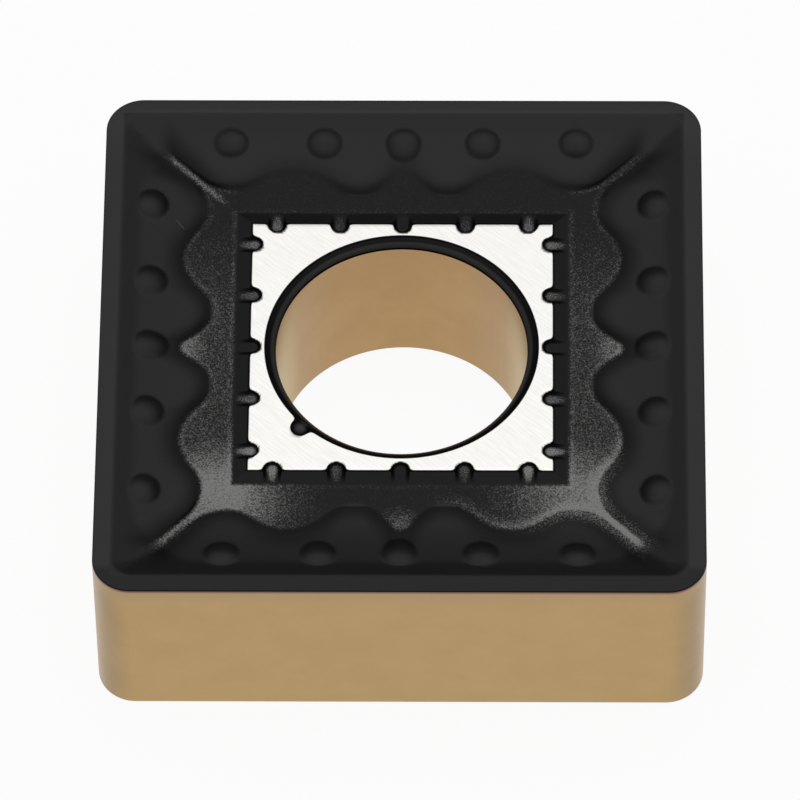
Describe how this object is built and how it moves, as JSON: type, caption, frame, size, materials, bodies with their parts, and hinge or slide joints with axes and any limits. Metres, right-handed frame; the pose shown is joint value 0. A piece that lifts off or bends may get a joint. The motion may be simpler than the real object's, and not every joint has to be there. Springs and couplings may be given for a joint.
{
  "type": "carbide insert",
  "caption": "Square turning insert with a moulded chip-breaker face, a ground clamp face, a locating bore through the middle and a flat underside.",
  "frame": {"origin": "centre of the underside, on the axis of the bore", "axes": "+Z out of the chip-breaker face along the bore; +X and +Y square to the flanks"},
  "size_m": [0.019, 0.019, 0.0063],
  "materials": {
    "insert_body": "black coating on the chip-breaker face, gold coating on the flanks, bare ground carbide on the clamp face"
  },
  "bodies": {
    "root": {"insert_body": "insert_body"}
  },
  "joints": []
}
